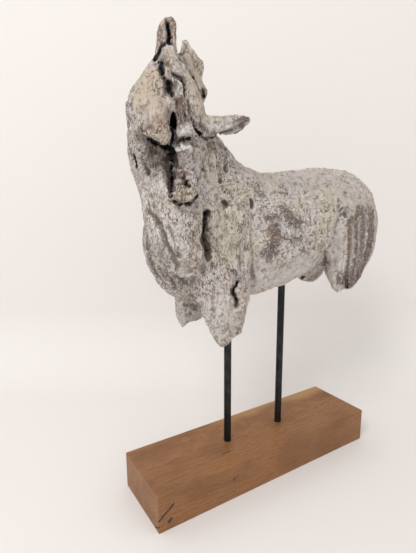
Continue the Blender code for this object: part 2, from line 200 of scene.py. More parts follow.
soft_light("window", spot_around(WINDOW_TURN, WINDOW_RISE, WINDOW_FAR), MIDDLE,
           WINDOW_SIZE, WINDOW_POWER, WINDOW_COLOUR)
soft_light("left_glow", spot_around(SKY_TURN, SKY_RISE, SKY_FAR), MIDDLE,
           SKY_SIZE, SKY_POWER, SKY_COLOUR)
room = bpy.data.worlds.new("room")
bpy.context.scene.world = room
room.use_nodes = True
room.node_tree.nodes["Background"].inputs["Color"].default_value = (*ROOM_COLOUR, 1)
room.node_tree.nodes["Background"].inputs["Strength"].default_value = ROOM_STRENGTH
print("lamps", WINDOW_POWER, "W and", SKY_POWER, "W, room", ROOM_STRENGTH)

# %% [markdown]
# ## A fine skin for the horse
# The frame's horse is built from large facets. Its copy is remeshed into even cells small enough to
# carve, and a little smoothing takes the facets off. Subdividing the facets would keep their uneven
# pattern, and strokes would come out coarse in one place and fine in another. The head and neck carry
# the finest work, so the cells there are halved once more. The frame's own body stays for the physics.

# %% Skin
SKIN_CELL = 2.1 * MM
FINE_ABOVE = 385 * MM
EASE_SHARE = 0.5
EASE_ROUNDS = 4


def applied(thing):
    """Replace the mesh by what its modifiers make of it."""
    graph = bpy.context.evaluated_depsgraph_get()
    made = bpy.data.meshes.new_from_object(thing.evaluated_get(graph), preserve_all_data_layers=True,
                                           depsgraph=graph)
    thing.modifiers.clear()
    thing.data = made


def eased(thing, rounds):
    """Let every point of a mesh slide towards its neighbours, a number of times over."""
    ease = thing.modifiers.new("ease", "SMOOTH")
    ease.factor = EASE_SHARE
    ease.iterations = rounds
    applied(thing)


def triangles(thing):
    """How many triangles a thing's mesh has."""
    return sum(len(face.vertices) - 2 for face in thing.data.polygons)


skin = bpy.data.objects.new("horse_skin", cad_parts["horse_torso"].data.copy())
bpy.context.scene.collection.objects.link(skin)
cells = skin.modifiers.new("cells", "REMESH")
cells.mode = "VOXEL"
cells.voxel_size = SKIN_CELL
applied(skin)
eased(skin, EASE_ROUNDS)
finer = bmesh.new()
finer.from_mesh(skin.data)
upper = [edge for edge in finer.edges if min(corner.co.z for corner in edge.verts) > FINE_ABOVE]
bmesh.ops.subdivide_edges(finer, edges=upper, cuts=1, use_grid_fill=True)
finer.to_mesh(skin.data)
finer.free()
eased(skin, EASE_ROUNDS)
print("skin triangles", triangles(skin))

# %% [markdown]
# ## Carving tools
# A stroke follows picture points that are cast onto the skin. Around it the skin is pushed in, or
# raised when the depth is below nothing. Wood breaks along ragged lines, so noise frays the edge of
# every stroke. Sculpting by hand does the same, but can't be repeated. A list of strokes can.

# %% Carving tools


def skin_points():
    """The place of every point of the skin, as rows of a table."""
    points = np.empty(len(skin.data.vertices) * 3)
    skin.data.vertices.foreach_get("co", points)
    return points.reshape(-1, 3)


def skin_normals():
    """The way the skin faces at every point."""
    normals = np.empty(len(skin.data.vertices) * 3)
    skin.data.vertices.foreach_get("normal", normals)
    return normals.reshape(-1, 3)


def set_skin(points):
    """Move every point of the skin to its new place."""
    skin.data.vertices.foreach_set("co", points.ravel())
    skin.data.update()


def roughness(points, size, stretch=1.0, offset=0.0):
    """Noise from -1 to 1 for every point; its lumps are about size millimetres across."""
    spots = points / (size * MM) / np.array([1, 1, stretch]) + offset
    return np.array([noise.noise(Vector(spot)) for spot in spots])


def cast_path(picture_path, tree):
    """Picture points cast onto the skin, with more points put in between."""
    path = []
    for start, end in zip(picture_path, picture_path[1:]):
        steps = max(1, round(math.dist(start, end) / 2))
        path += [(start[0] + (end[0] - start[0]) * i / steps,
                  start[1] + (end[1] - start[1]) * i / steps) for i in range(steps)]
    path.append(picture_path[-1])
    hits = [tree.ray_cast(CAMERA_SPOT, sight(point))[0] for point in path]
    return [np.array(hit) for hit in hits if hit]


# %% Strokes
FRAY = 0.45
FRAY_SIZE, FRAY_STRETCH, FRAY_OFFSET = 3.2, 1.3, 40.0
fray = FRAY * roughness(skin_points(), FRAY_SIZE, FRAY_STRETCH, FRAY_OFFSET)
print("strokes are frayed by up to", round(float(np.abs(fray).max()), 2), "of their width")


def nearness(points, path, width):
    """1 on the stroke, falling to 0 at its frayed edge."""
    near = np.zeros(len(points))
    path = np.array(path)
    reach = width * (1 + FRAY)
    inside = np.all((points > path.min(0) - reach) & (points < path.max(0) + reach), axis=1)
    close = points[inside]
    gap = np.full(len(close), np.inf)
    for start, end in zip(path, path[1:]) if len(path) > 1 else [(path[0], path[0])]:
        run = end - start
        share = np.clip((close - start) @ run / max(run @ run, 1e-12), 0, 1)
        gap = np.minimum(gap, np.linalg.norm(close - start - share[:, None] * run, axis=1))
    near[inside] = np.clip(1 - gap / width + fray[inside], 0, 1)
    return near


def skin_tree():
    """The skin as a search tree, for casting picture points onto it."""
    graph = bpy.context.evaluated_depsgraph_get()
    return BVHTree.FromObject(skin, graph)


def carve(strokes):
    """Lay down a set of strokes at once; each is width, depth in millimetres and a picture path."""
    tree = skin_tree()
    points, normals = skin_points(), skin_normals()
    push = np.zeros(len(points))
    for width, depth, picture_path in strokes:
        path = cast_path(picture_path, tree)
        if path:
            near = nearness(points, path, width * MM)
            push += depth * MM * near ** 2 * (3 - 2 * near)
    set_skin(points - normals * push[:, None])
    print("strokes", len(strokes), "deepest push", round(float(push.max()) / MM, 1), "mm")


# %% [markdown]
# ## The head
# The head is thrown up so far that the picture looks at the underside of the jaw. The muzzle is a
# blunt finger with a split down it, the mouth is a crack, and a bar of wood runs down to the throat
# with dark hollows on both sides. Below them hang a tongue of wood and two pale splintered blocks.
# Each mark is a named path of picture points. The paths come first, and the depths after them,
# because the paths are used once more when the black painted shade and the bare wood are laid on.

# %% Muzzle, jaw and throat paths
MUZZLE_SPLIT_TOP = [(167, 23), (167.5, 28), (167.5, 32)]
MUZZLE_SPLIT = [(168, 31), (170, 35), (170, 39), (168, 43)]
MUZZLE_FURROW = [(161, 29), (160.5, 34), (162, 39)]
MOUTH_CRACK = [(154.5, 60), (156, 57), (159, 52), (161, 48), (163, 45.5), (167, 44), (170.5, 44)]
MOUTH_CORNER = [(154.5, 60), (156, 56)]
LIP = [(166, 48), (172, 50), (176, 60)]
CHIN_EDGE = [(157, 60.5), (161, 57), (164, 62)]
JAW_HOLLOW = [(158, 62), (161, 63), (161, 68), (162.5, 73), (164.5, 78)]
JAW_SLOT = [(169, 82), (168.5, 88), (170.5, 92), (171, 96)]
JAW_SLOT_CORE = [(169, 82), (170.5, 88)]
LEDGE = [(167, 99), (173, 96), (178, 91), (180, 84)]
BAR_SLIT = [(181, 81), (184, 84), (184.5, 90), (184, 97)]
BAR_GROOVE = [(184, 97), (188, 101), (189, 108), (191, 117), (194, 123)]
BAR_RIDGE = [(167, 47), (170, 56), (172, 66)]
BAR_LINE = [(168, 51), (169, 60), (166.5, 66)]
WEDGE = [(175, 71), (180, 73.5), (184, 76)]
WEDGE_SHADE = [(173, 74), (178, 76.5), (182, 79)]
LOWER_BAR = [(178, 100), (180, 110), (183, 120)]
BAR_STREAKS = [[(176, 101), (177, 110), (179, 120)], [(180.5, 98), (183, 108), (185.5, 118)]]
JAW_HOLE = [(172, 115), (173, 122), (175.5, 128)]
JAW_HOLE_CORE = [(171, 116), (172.5, 124)]
THROAT_SLOT = [(172, 130), (173, 137), (172, 143)]
THROAT = [(166, 147), (171, 149), (172, 153)]

# %% Jaw flap, block, ear and crest paths
FLAP_BACK = [(155, 117), (162, 120), (166, 128)]
FLAP_RIM = [(153, 131), (158, 136), (164, 141), (168, 144)]
FLAP_RIDGE = [(150, 130), (154, 137)]
FLAP_FACET = [(142, 135), (147, 138)]
FLAP_BROW = [(139, 132), (145, 129), (150, 128)]
UNDER_FLAP = [(149, 140), (154, 143), (159, 145.5), (164, 148), (168, 150)]
FLAP_FOOT = [(139, 147), (145, 146)]
BLOCK_SLIT = [(179, 140.5), (184, 139.5), (190, 138.5)]
BLOCK_SIDE = [(175.5, 132), (176, 138), (178, 146)]
BLOCK_TOP = [(180, 127), (186, 124.5)]
BLOCK_RIDGE = [(195, 131), (195.5, 140), (193, 148)]
BLOCK_FOOT = [(178, 154), (186, 153), (191, 150.5)]
EAR_ROOT = [(193.5, 126), (196, 130), (199, 134.5)]
EAR_FOOT = [(201, 137), (206, 139), (212, 137.5), (217, 135)]
EAR_PIT = [(218, 135), (219, 138)]
EAR_LIP = [(216, 131.5), (224, 130), (231, 127), (238, 123.5), (246, 120)]
EAR_HOLLOW = [(219, 133.5), (226, 132), (234, 129.5), (241, 126)]
EAR_TEAR = [(234, 123), (240, 120), (246, 118.5)]
EAR_SPOTS = [[(198, 124), (200, 127)], [(202, 126), (204, 128)], [(216, 123), (217, 123)]]
CREST_FURROWS = [[(190, 52), (193, 60), (195, 68)], [(184, 60), (188, 67), (191, 75)],
                 [(197, 66), (199, 76)]]
CREST_FOOT = [(180, 60), (185, 65), (190, 72), (195, 82), (199, 92)]
CREST_HOLLOW = [(179, 55), (183, 53)]
CREST_PIT = [(203.5, 91), (204, 96)]
CREST_EDGE = [(201, 72), (202.5, 79)]
CREST_TOOTH = [(187, 46), (189, 49)]
CHEEK_NUB = [(127, 103), (127.5, 107)]

# %% Carving the head
carve([
    # width in millimetres, depth in millimetres, picture path
    (3.4, 3.5, MUZZLE_SPLIT_TOP),
    (4.2, 6.0, MUZZLE_SPLIT),
    (3.0, 1.2, MUZZLE_FURROW),
    (3.2, 4.5, MOUTH_CRACK),
    (3.6, 3.0, MOUTH_CORNER),
    (4.5, -2.2, LIP),
    (2.8, -1.2, CHIN_EDGE),
    (4.4, 4.5, JAW_HOLLOW),
    (5.0, 4.5, JAW_SLOT),
    (3.0, 3.0, JAW_SLOT_CORE),
    (3.0, -1.8, LEDGE),
    (3.8, 4.0, BAR_SLIT),
    (3.8, 2.4, BAR_GROOVE),
    (4.5, -1.5, BAR_RIDGE),
    (2.6, 1.3, BAR_LINE),
    (2.8, -3.4, WEDGE),
    (2.8, 3.5, WEDGE_SHADE),
    (5.0, -1.2, LOWER_BAR),
    *[(2.2, 1.8, streak) for streak in BAR_STREAKS],
    (6.0, 6.0, JAW_HOLE),
    (4.0, 4.0, JAW_HOLE_CORE),
    (4.0, 5.0, THROAT_SLOT),
    (6.5, 7.0, THROAT),
    (5.0, -1.5, FLAP_BACK),
    (4.5, -2.6, FLAP_RIM),
    (2.8, -1.4, FLAP_RIDGE),
    (6.0, 2.5, FLAP_FACET),
    (2.8, -1.6, FLAP_BROW),
    (4.2, 6.0, UNDER_FLAP),
    (3.5, -1.5, FLAP_FOOT),
    (2.8, 5.0, BLOCK_SLIT),
    (3.0, 3.5, BLOCK_SIDE),
    (3.5, -1.5, BLOCK_TOP),
    (3.0, -1.8, BLOCK_RIDGE),
    (3.4, 3.0, BLOCK_FOOT),
    (4.0, 6.0, EAR_ROOT),
    (2.6, 2.6, EAR_FOOT),
    (3.0, 3.0, EAR_PIT),
    (2.8, -2.2, EAR_LIP),
    (4.4, 3.6, EAR_HOLLOW),
    (2.6, 1.6, EAR_TEAR),
    (2.6, 1.8, EAR_SPOTS[0]),
    (2.6, 1.8, EAR_SPOTS[1]),
    (2.2, 1.5, EAR_SPOTS[2]),
    (3.2, 1.8, CREST_FURROWS[0]),
    (3.2, 1.8, CREST_FURROWS[1]),
    (3.0, 1.5, CREST_FURROWS[2]),
    (3.8, 3.0, CREST_FOOT),
    (3.8, 3.5, CREST_HOLLOW),
    (4.0, 4.5, CREST_PIT),
    (3.0, 2.4, CREST_EDGE),
    (2.6, 2.0, CREST_TOOTH),
    (3.0, -2.0, CHEEK_NUB),
])

# %% [markdown]
# ## Neck and chest
# The neck is a bundle of long folds that run down into the breast, with a deep groove from the throat,
# a knuckle of wood with a hollow in it, and a dark crease where the neck meets the shoulder. The large
# masses are in the frame already. Strokes add what is a few millimetres deep, and a low ridge beside a
# furrow makes both read better than the furrow alone.

# %% Throat and knuckle paths
NECK_SLIT = [(134, 155), (136, 160), (137, 165), (136.5, 169)]
NECK_PITS = [[(144.5, 164), (146, 168)], [(148, 170), (149, 173)], [(153, 155), (154.5, 160)],
             [(153, 163), (155, 166)], [(150.5, 195), (153, 200)], [(137.5, 150), (139, 151)]]
THROAT_GROOVE = [(172, 157), (171.5, 166), (172, 176), (171.5, 188), (172, 196)]
THROAT_STRIP = [(167, 154), (167, 168), (168, 182), (170, 192)]
KNUCKLE_HOLLOW = [(183.5, 178), (184.5, 182), (187, 184)]
KNUCKLE_CRACK = [(183, 178), (186, 182.5), (190, 187)]
KNUCKLE_RIM = [(179, 172), (186, 168), (193, 176), (194, 186), (188, 192), (179, 190), (176, 181)]
KNUCKLE_LOBE = [(177, 198), (184, 199.5), (191, 197)]
KNUCKLE_FOOT = [(174.5, 201), (178.5, 205), (185, 203.5), (192, 202), (198, 195.5)]
KNUCKLE_SIDE = [(195, 170), (197, 176), (199, 186)]
THROAT_CORNER = [(176, 157), (178, 166)]

# %% Shoulder, breast and mane paths
SHOULDER_CREASE = [(206, 212), (204.5, 218), (204.5, 228), (203.5, 238), (206, 248), (208, 258)]
CREASE_BLACK = [(204.5, 211), (204, 220), (203.5, 231), (204, 241), (206.5, 251)]
# painted shade: a soft dark band to the right of the shoulder crease's black line
CREASE_SHADOW = [(206.5, 214), (207, 226), (206.5, 240)]
LOBE_EDGE = [(201, 216), (200, 228), (198, 240), (200, 252), (201, 262), (197, 270), (190, 275), (182, 275)]
LOBE_GROOVE = [(193.5, 232), (193, 240), (193, 250), (190, 258)]
LOBE_FOOT = [(184, 281), (192, 282), (200, 277), (206, 270)]
BREAST_FOLDS = [
    [(150, 212), (155, 217), (160, 225)],
    [(164, 232), (168, 244), (174, 256), (178, 268)],
    [(168, 228), (174, 244), (179, 256)],
    [(146, 236), (148, 252), (154, 270), (164, 285)],
    [(160, 262), (168, 276), (176, 290)],
    [(170, 268), (178, 277), (187, 285)],
]
BREAST_RIDGES = [[(170, 240), (175, 252), (180, 260)], [(171, 271), (180, 277)],
                 [(155, 222), (160, 236), (162, 250)]]
MANE_FOLDS = [
    [(203, 148), (203, 162), (205, 178)],
    [(209, 144), (208, 156), (210, 170)],
    [(218, 160), (219, 172), (220, 182)],
    [(225, 150), (226, 160), (226, 169)],
    [(214, 142), (216, 152), (217, 166)],
]
MANE_RIDGES = [[(212, 146), (213, 160), (214, 172)], [(222, 148), (223, 164)]]
NECK_DOTS = [[(207, 164), (208, 165)], [(208, 182), (209, 182)], [(226, 168), (226.5, 170)],
             [(200, 167), (206, 171)], [(220, 179), (221, 182)], [(205, 150), (207, 155)],
             [(244, 216), (245.5, 219)], [(232, 271), (232.3, 271)]]
NECK_HOLE = [(223.5, 202), (225.5, 204)]
NUB_RING = [(232, 268.5), (237, 269), (239, 272), (236, 275.5), (232, 275)]
NUB_SIDE = [(240.5, 257), (240.5, 264), (240.5, 271)]

# %% Carving the neck and chest
carve([
    (2.8, 3.5, NECK_SLIT),
    *[(3.0, 1.8, pit) for pit in NECK_PITS],
    (4.2, 6.5, THROAT_GROOVE),
    (6.0, 2.5, THROAT_STRIP),
    (5.5, 7.5, KNUCKLE_HOLLOW),
    (2.8, 3.0, KNUCKLE_CRACK),
    (3.5, -3.2, KNUCKLE_RIM),
    (4.0, -3.2, KNUCKLE_LOBE),
    (3.6, 5.5, KNUCKLE_FOOT),
    (3.4, 4.0, KNUCKLE_SIDE),
    (4.0, 2.5, THROAT_CORNER),
    (5.0, 7.0, SHOULDER_CREASE),
    (4.5, -2.2, LOBE_EDGE),
    (3.0, 1.5, LOBE_GROOVE),
    (7.0, 2.5, LOBE_FOOT),
    *[(4.2, 2.9, fold) for fold in BREAST_FOLDS],
    *[(3.4, -1.8, ridge) for ridge in BREAST_RIDGES],
    *[(3.4, 2.8, fold) for fold in MANE_FOLDS],
    *[(4.0, -1.8, ridge) for ridge in MANE_RIDGES],
    *[(2.6, 2.2, dot) for dot in NECK_DOTS],
    (3.2, 4.0, NECK_HOLE),
    (2.6, -1.8, NUB_RING),
    (3.2, 2.0, NUB_SIDE),
])

# %% [markdown]
# ## Trunk and legs
# The side is calmer: one long crease behind the shoulder, a few rotten holes on the flank, furrows down
# the thigh to its hollow end, and an open crack down the broken foreleg. These strokes are shallow and
# far apart, because a calm side is what makes the wild head stand out.

# %% Shoulder, foreleg and flank paths
ARM_CREASE = [(247, 172), (250, 186), (251, 205), (251, 230), (252, 255), (253, 285)]
ARM_RIDGE = [(254, 206), (254, 228), (255, 255)]
ARM_SPOTS = [[(251, 200), (252, 207)], [(251.5, 213), (253, 216)], [(253, 273), (254, 279)],
             [(260, 218), (261, 219)]]
LEG_CRACK = [(237.5, 282), (235, 287), (232.5, 292), (234.5, 296), (237, 300), (237, 306)]
LEG_BAYS = [[(244, 250), (244, 262)], [(231, 328), (232, 336)], [(213, 300), (214, 318)]]
LEG_EDGE = [(204, 318), (207, 325), (210, 331)]
STUMP_HOLLOW = [(186, 305), (192, 306), (199, 308)]
SCRATCHES = [
    [(266, 220), (273, 219), (280, 217)],
    [(268, 225), (275, 226), (279, 225)],
    [(270, 228), (276, 228)],
    [(263, 232), (268, 230)],
    [(284, 211), (287, 216), (290, 219)],
    [(292, 214), (296, 220), (299, 224)],
    [(294, 228), (300, 223)],
    [(274, 236), (272, 243), (270, 250)],
    [(280, 232), (283, 238), (292, 240), (300, 238)],
    [(260, 189), (262, 194), (264, 198)],
    [(281, 188), (285, 186), (289, 190)],
    [(283, 196), (288, 192)],
    [(305, 248), (308, 253)],
    [(257, 262), (259, 270)],
]
FLANK_HOLES = [[(326, 211), (327, 211)], [(334.5, 210), (335, 213)], [(340, 211), (343, 209)],
               [(344, 213), (346, 216)], [(318, 196), (318.5, 198)], [(314, 248), (315, 249)]]
FLANK_FOLD = [(338, 222), (332, 240), (325, 252), (318, 262)]
GROIN = [(326, 254), (325, 262), (324, 268)]

# %% Thigh paths
THIGH_FURROWS = [
    [(346, 236), (345, 252), (343, 268), (338, 284)],
    [(349, 232), (349, 250), (348, 268)],
    [(358, 216), (358, 236), (357, 256), (355, 272)],
    [(367, 214), (366, 236), (362, 258), (358, 276)],
]
THIGH_RIDGES = [
    [(341.5, 238), (341, 256), (339, 270)],
    [(353.5, 236), (353.5, 250), (352, 266)],
    [(332, 256), (333, 272), (335, 286)],
    [(361.5, 232), (360, 250), (357, 268), (352, 284)],
]
THIGH_END = [(347, 277), (348, 283), (347, 288)]
THIGH_PIT = [(338, 276), (339, 284)]
FAR_STUMP_HOLLOW = [(300, 279), (304, 277)]

# %% Carving the trunk and legs
carve([
    (5.0, 0.8, ARM_CREASE),
    (4.0, -0.8, ARM_RIDGE),
    *[(3.0, 2.0, spot) for spot in ARM_SPOTS],
    (3.6, 5.5, LEG_CRACK),
    *[(4.5, 1.6, bay) for bay in LEG_BAYS],
    (3.0, 1.5, LEG_EDGE),
    (7.0, 3.0, STUMP_HOLLOW),
    *[(2.6, 1.1, scratch) for scratch in SCRATCHES],
    *[(3.2, 3.2, hole) for hole in FLANK_HOLES],
    (8.0, 2.0, FLANK_FOLD),
    (5.5, 3.0, GROIN),
    *[(4.0, 1.5, furrow) for furrow in THIGH_FURROWS],
    *[(3.6, -1.2, ridge) for ridge in THIGH_RIDGES],
    (4.5, 5.5, THIGH_END),
    (4.0, 3.0, THIGH_PIT),
    (5.0, 4.0, FAR_STUMP_HOLLOW),
])

# %% [markdown]
# ## Weather
# Years of water and sand leave lumps, pits and short fibres all over. They come from noise at four
# sizes, drawn out along the height because the grain runs up the neck and legs. A bump map alone would
# leave the outline smooth, so the lumps move the skin itself.

# %% Weathering
WEATHER = [
    # size of a lump in millimetres, how much longer it is along the grain, depth in millimetres
    (16.0, 1.8, 1.5),
    (7.0, 1.6, 1.15),
    (3.6, 1.4, 0.7),
    (2.1, 1.2, 0.35),
]
WEATHER_SHIFT = 17.3
PIT_SIZE, PIT_STRETCH, PIT_SHIFT = 5.0, 1.2, 91.0
PIT_DEPTH = 4.8
PIT_START = 0.42
PIT_SHAPE = 1.2
points, normals = skin_points(), skin_normals()
rough = np.zeros(len(points))
for step, (size, stretch, depth) in enumerate(WEATHER):
    rough += depth * MM * roughness(points, size, stretch, WEATHER_SHIFT * step)
pits = roughness(points, PIT_SIZE, PIT_STRETCH, PIT_SHIFT)
rough -= PIT_DEPTH * MM * np.clip(pits - PIT_START, 0, 1) ** PIT_SHAPE
set_skin(points + normals * rough[:, None])
print("weathering from", round(float(rough.min()) / MM, 1), "to", round(float(rough.max()) / MM, 1), "mm")

# %% [markdown]
# ## Flat breaks
# Where wood has split off, the break is flat and its edges are crisp. Such a facet is a slice: every
# point of the skin that stands above a plane is let down onto it. A plane is given by the place where
# it touches the skin and by the way it faces, to the right, up and towards the camera.

# %% Flat breaks
SLICES = [
    # picture point, the way it faces, reach and depth in millimetres
    ((179.5, 134), (-0.75, -0.1, 0.7), 7, 0.7),
    ((187.5, 134), (0.45, -0.1, 0.9), 7, 0.7),
    ((185, 128), (0.0, 0.85, 0.55), 6, 0.6),
    ((181, 146), (-0.5, -0.35, 0.8), 6, 0.6),
    ((188.5, 146), (0.55, -0.1, 0.8), 6, 0.6),
    ((148, 131), (-0.5, 0.35, 0.8), 9, 0.9),
    ((158, 127), (0.1, 0.2, 1.0), 11, 0.9),
    ((162, 136), (0.35, -0.45, 0.8), 8, 0.9),
    ((170, 58), (-0.5, 0.1, 0.85), 8, 0.8),
    ((175, 66), (0.6, 0.1, 0.8), 8, 0.8),
    ((178, 108), (-0.55, 0.0, 0.85), 9, 0.8),
    ((238, 124), (0.1, 0.6, 0.8), 7, 0.6),
]


def slice_flat(slices):
    """Let the skin down onto planes; the edge of the reach is blended in."""
    tree = skin_tree()
    points = skin_points()
    for picture_point, facing, reach, depth in slices:
        spot = tree.ray_cast(CAMERA_SPOT, sight(picture_point))[0]
        way = (facing[0] * across + facing[1] * upward - facing[2] * ahead).normalized()
        offset = points - np.array(spot)
        above = np.maximum(offset @ np.array(way) + depth * MM, 0)
        share = np.clip(3 - 3 * np.linalg.norm(offset, axis=1) / (reach * MM), 0, 1)
        points -= (above * share)[:, None] * np.array(way)
    set_skin(points)


slice_flat(SLICES)
print("flat breaks", len(SLICES))

# %% [markdown]
# ## Where the whitewash sits, and where hollows get painted shade
# Whitewash stays on ridges, and wears off or never reaches the hollows. Each point of the skin gets a
# number for how far it lies below or above its surroundings, at a narrow and at a wide reach. The wide
# number later darkens the broad hollows as painted shade. A shader could measure this while rendering,
# but numbers stored on the points also survive an export.

# %% Hollows and ridges
edges = np.empty(len(skin.data.edges) * 2, np.int64)
skin.data.edges.foreach_get("vertices", edges)
ends = edges.reshape(-1, 2)
degree = np.bincount(ends.ravel(), minlength=len(skin.data.vertices))
OWN_SHARE, NEIGHBOUR_SHARE = 0.4, 0.6


def spread(values, rounds):
    """Average a value with its neighbours, a number of times over."""
    for _ in range(rounds):
        total = np.stack([np.bincount(ends[:, 0], values[ends[:, 1], k], len(values))
                          + np.bincount(ends[:, 1], values[ends[:, 0], k], len(values))
                          for k in range(values.shape[1])], axis=1)
        values = OWN_SHARE * values + NEIGHBOUR_SHARE * total / degree[:, None]
    return values


def mark(name, values):
    """Store one number for each point of the skin, for the material to read."""
    layer = skin.data.attributes.new(name, "FLOAT", "POINT")
    layer.data.foreach_set("value", values.astype(np.float32))


NARROW_ROUNDS = 6
WIDE_ROUNDS = 50
points, normals = skin_points(), skin_normals()
near_mean = spread(points, NARROW_ROUNDS)
far_mean = spread(near_mean, WIDE_ROUNDS)
narrow = ((points - near_mean) * normals).sum(axis=1) / MM
wide = ((points - far_mean) * normals).sum(axis=1) / MM
mark("narrow", narrow)
mark("wide", wide)
LOW_MIDDLE_HIGH = [5, 50, 95]
print("narrow relief", np.percentile(narrow, LOW_MIDDLE_HIGH).round(2), "mm")
print("wide relief", np.percentile(wide, LOW_MIDDLE_HIGH).round(2), "mm")

# %% [markdown]
# ## Patches of colour, and of painted light and shade
# The coat isn't the same all over. Some places are rubbed down to brown wood, some are freshly white,
# and some are warmer, greener or calmer. Other patches are painted light and shade: pale on the belly,
# darker where shade falls, and black in the deep cracks, holes and under overhangs. Each kind is a list
# of patches that follow picture points, like the strokes. Painting them by hand on an image would tie
# them to one unwrapping of the mesh. Kept as numbers on the points, they stay where they belong.

# %% Patches rubbed down to brown wood, with brown painted shade under the ear and in the folds
BROWN_PATCHES = [
    # width in millimetres, strength, picture path
    (14, 1.3, [(272, 250), (275, 240), (276, 232)]),
    (10, 0.9, [(264, 254), (270, 258)]),
    (12, 1.3, [(285, 211), (290, 218), (298, 223)]),
    (9, 0.8, [(268, 218), (280, 217)]),
    (9, 0.8, [(280, 234), (290, 239), (300, 238)]),
    (9, 0.6, [(259, 188), (264, 197)]),
    (10, 0.5, [(281, 186), (288, 194)]),
    (7, 0.6, [(303, 250), (308, 254)]),
    (11, 1.3, [(351, 222), (350, 244), (348, 266), (345, 282)]),
    (15, 1.4, [(361, 212), (361, 238), (356, 266), (351, 284)]),
    (13, 1.3, [(371, 214), (371, 236), (365, 260), (357, 280)]),
    (9, 0.6, [(362, 205), (372, 208)]),
    (9, 1.1, [(167, 158), (168, 176), (168.5, 190)]),
    (6, 0.9, [(176, 156), (178, 166)]),
    (9, 1.3, [(179, 98), (182, 110), (185, 121)]),
    (6, 0.8, [(176, 82), (177, 90)]),
    (7, 0.6, [(166, 86), (165, 94)]),
    (8, 0.7, [(160, 244), (161, 256)]),
    (8, 0.7, [(161, 270), (166, 278)]),
    (7, 0.5, [(172, 272), (176, 290)]),
    (5, 0.8, [(141, 131), (147, 129)]),
    (6, 0.6, [(158, 28), (158, 42)]),
    (6, 0.6, [(170, 62), (170, 76)]),
    (6, 0.7, [(146, 166), (149, 172)]),
    (6, 0.9, [(199, 124), (206, 130)]),
    (5, 0.8, [(220, 133), (230, 131)]),
    (6, 0.9, [(233, 125), (242, 121), (248, 118)]),
    # painted shade: two dark brown lines under the lower rim of the ear
    (2.4, 1.3, [(222, 132), (232, 128), (240, 124), (247, 120)]),
    (2.6, 1.2, [(226, 135.5), (236, 133), (244, 127)]),
    (10, 0.8, [(148, 240), (150, 258), (158, 276)]),
    # painted shade: dark timber lines down the bottoms of the folds and the lobe groove
    *[(1.9, 0.8, fold) for fold in BREAST_FOLDS],
    *[(1.9, 0.5, fold) for fold in MANE_FOLDS],
    (1.8, 0.7, LOBE_GROOVE),
]

# %% Pale patches, with painted light on the belly
PALE_PATCHES = [
    (8, 1.2, [(180, 133), (186, 129), (189, 132)]),
    (6, 1.2, [(179, 148), (190, 147)]),
    (8, 0.3, [(340, 228), (339, 250), (337, 272)]),
    (7, 0.3, [(331, 258), (333, 274), (335, 287)]),
    (26, 0.5, [(158, 236), (170, 262), (186, 276)]),
    (20, 0.65, [(202, 156), (206, 196)]),
    (20, 0.4, [(228, 296), (222, 318)]),
    (7, 0.8, [(208, 126), (224, 127), (236, 124)]),
    (7, 0.7, [(168, 50), (175, 66)]),
    (2.6, 0.9, [(346.5, 228), (346, 250), (343, 272)]),
    (2.4, 0.8, [(353, 224), (353, 246), (350, 268)]),
    (2.0, 0.7, [(359, 218), (359, 244), (355, 272)]),
    (2.0, 0.6, [(366, 222), (365, 248), (359, 270)]),
    # painted highlight: a bright rim along the lower edge of the belly, in front of the far stump
    (3.0, 0.7, [(290, 285), (303, 276), (314, 265), (322, 255)]),
    (7, 0.5, [(206, 120), (222, 122), (234, 122)]),
    (3, 0.9, [(222, 134.5), (232, 133.5), (240, 129)]),
    (22, 0.45, [(160, 180), (152, 200), (146, 180)]),
    (14, 0.4, [(176, 232), (182, 250)]),
    (22, 0.35, [(214, 322), (222, 334)]),
    # painted light: the underside of the belly made paler, as if lit from the floor
    (26, 0.8, [(262, 282), (280, 280), (304, 268)]),
    (5, 0.9, [(168, 99), (173, 96), (179, 90), (180, 84)]),
    (4, 0.8, [(175, 71), (184, 76)]),
    (5, 0.6, [(168, 48), (176, 62)]),
]

# %% Warm, green and tan patches
WARM_PATCHES = [
    (30, 0.9, [(228, 190), (232, 215), (226, 245)]),
    (22, 1.3, [(184, 58), (196, 78), (196, 96), (204, 110)]),
    (16, 1.3, [(184, 44), (194, 60), (200, 84)]),
    (14, 1.0, [(157, 122), (162, 136)]),
    (22, 0.8, [(142, 78), (146, 96)]),
    (20, 0.9, [(330, 190), (330, 215), (322, 236)]),
    (9, 0.9, [(200, 220), (199, 240), (201, 262), (188, 275)]),
    (12, 0.9, [(176, 199), (190, 198)]),
    (20, 0.7, [(213, 150), (215, 176)]),
    (18, 0.6, [(242, 290), (244, 320)]),
    (10, 0.7, [(168, 50), (172, 62)]),
    (14, 0.5, [(240, 200), (250, 230)]),
]
GREEN_PATCHES = [
    (7, 0.9, [(160, 56), (164, 61), (163, 66)]),
    (5, 0.7, [(223, 201), (226, 205)]),
    (5, 0.5, [(344, 208), (347, 214)]),
]
TAN_PATCHES = [
    (9, 1.1, [(161, 20), (160, 32), (159, 44)]),
    (8, 1.1, [(174, 22), (174.5, 40)]),
    (22, 0.75, [(148, 72), (148, 88), (156, 100)]),
    (12, 0.8, [(158, 122), (163, 134)]),
    (9, 0.7, [(142, 128), (150, 128)]),
    (10, 0.6, [(168, 54), (174, 70)]),
    (10, 0.6, [(182, 104), (186, 122)]),
    (16, 0.5, [(192, 62), (196, 84), (202, 104)]),
    (14, 0.5, [(180, 176), (188, 194)]),
    (16, 0.4, [(208, 150), (212, 176)]),
    (8, 0.6, [(198, 238), (198, 264)]),
    (8, 0.6, [(240, 286), (240, 300)]),
]
